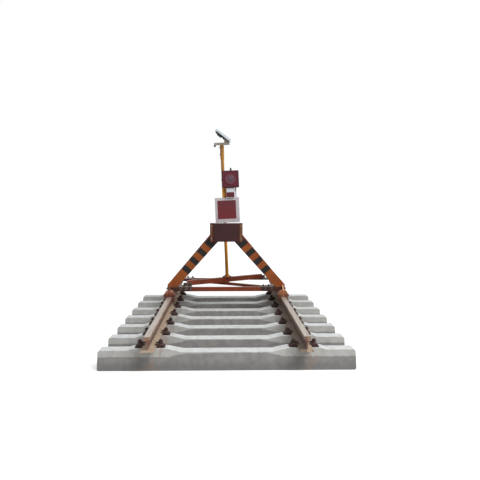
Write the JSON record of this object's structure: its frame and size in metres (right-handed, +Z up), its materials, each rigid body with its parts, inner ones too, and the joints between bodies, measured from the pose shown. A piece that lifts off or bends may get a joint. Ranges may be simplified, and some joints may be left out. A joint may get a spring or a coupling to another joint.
{
  "type": "railway buffer stop on a short track panel",
  "caption": "Fixed railway buffer stop: head on raking legs, braced base clamped to a track panel, with a mast carrying a sign, a lamp and a solar panel.",
  "frame": {"origin": "centre of the track panel's footprint, on the underside of the sleepers", "axes": "+X across the track, +Y along it away from an arriving wagon, +Z up"},
  "size_m": [2.5, 4.2, 2.6307],
  "materials": {
    "concrete": "weathered cast concrete, pale on top",
    "rail_steel": "rusted flanks with a bright worn running band",
    "pad_rubber": "black moulded rubber",
    "red_brown": "red-brown paint, faded, with rust",
    "orange": "brown-orange paint with square black stripes",
    "claw_orange": "orange paint over a casting, worn",
    "gusset_grey": "dull grey-brown paint",
    "maroon": "dark maroon paint, matt",
    "mast_yellow": "amber yellow paint",
    "sign_white": "off-white reflective sheet, weathered",
    "sign_red": "red reflective film",
    "lamp_red": "dark red moulded housing",
    "lens_red": "red ribbed lens",
    "black": "black",
    "white_plastic": "off-white",
    "zinc": "dull galvanised",
    "panel_frame": "anodised frame round dark blue cells"
  },
  "bodies": {
    "root": {"sleeper_1": "concrete", "sleeper_2": "concrete", "sleeper_3": "concrete", "sleeper_4": "concrete", "sleeper_5": "concrete", "sleeper_6": "concrete", "sleeper_7": "concrete", "rail_left": "rail_steel", "rail_pads_left": "pad_rubber", "base_beam_left": "red_brown", "front_claw_left": "claw_orange", "rear_claw_left": "claw_orange", "front_gusset_left": "gusset_grey", "rear_gusset_left": "gusset_grey", "front_leg_left": "orange", "rear_strut_left": "red_brown", "head_post_left": "orange", "rail_right": "rail_steel", "rail_pads_right": "pad_rubber", "base_beam_right": "red_brown", "front_claw_right": "claw_orange", "rear_claw_right": "claw_orange", "front_gusset_right": "gusset_grey", "rear_gusset_right": "gusset_grey", "front_leg_right": "orange", "rear_strut_right": "red_brown", "head_post_right": "orange", "front_tie": "red_brown", "rear_tie": "red_brown", "lower_brace": "red_brown", "upper_brace": "red_brown", "head_box": "maroon", "striking_plate": "maroon", "head_back_plate": "maroon", "brace_packing": "red_brown", "front_cleat": "gusset_grey", "rear_cleat": "gusset_grey", "mast_base": "red_brown", "mast": "mast_yellow", "mast_sleeve": "mast_yellow", "sign_plate": "sign_white", "sign_clamps": "zinc", "sign_red_square": "sign_red", "lamp_housing": "lamp_red", "lamp_bezel": "lamp_red", "lamp_lens": "lens_red", "lamp_sensor": "black", "lamp_clamp": "zinc", "control_box": "lamp_red", "label_plate": "white_plastic", "cable_duct": "white_plastic", "panel_bar": "zinc", "panel_ear_near": "zinc", "panel_ear_far": "zinc", "solar_panel": "panel_frame"}
  },
  "joints": []
}
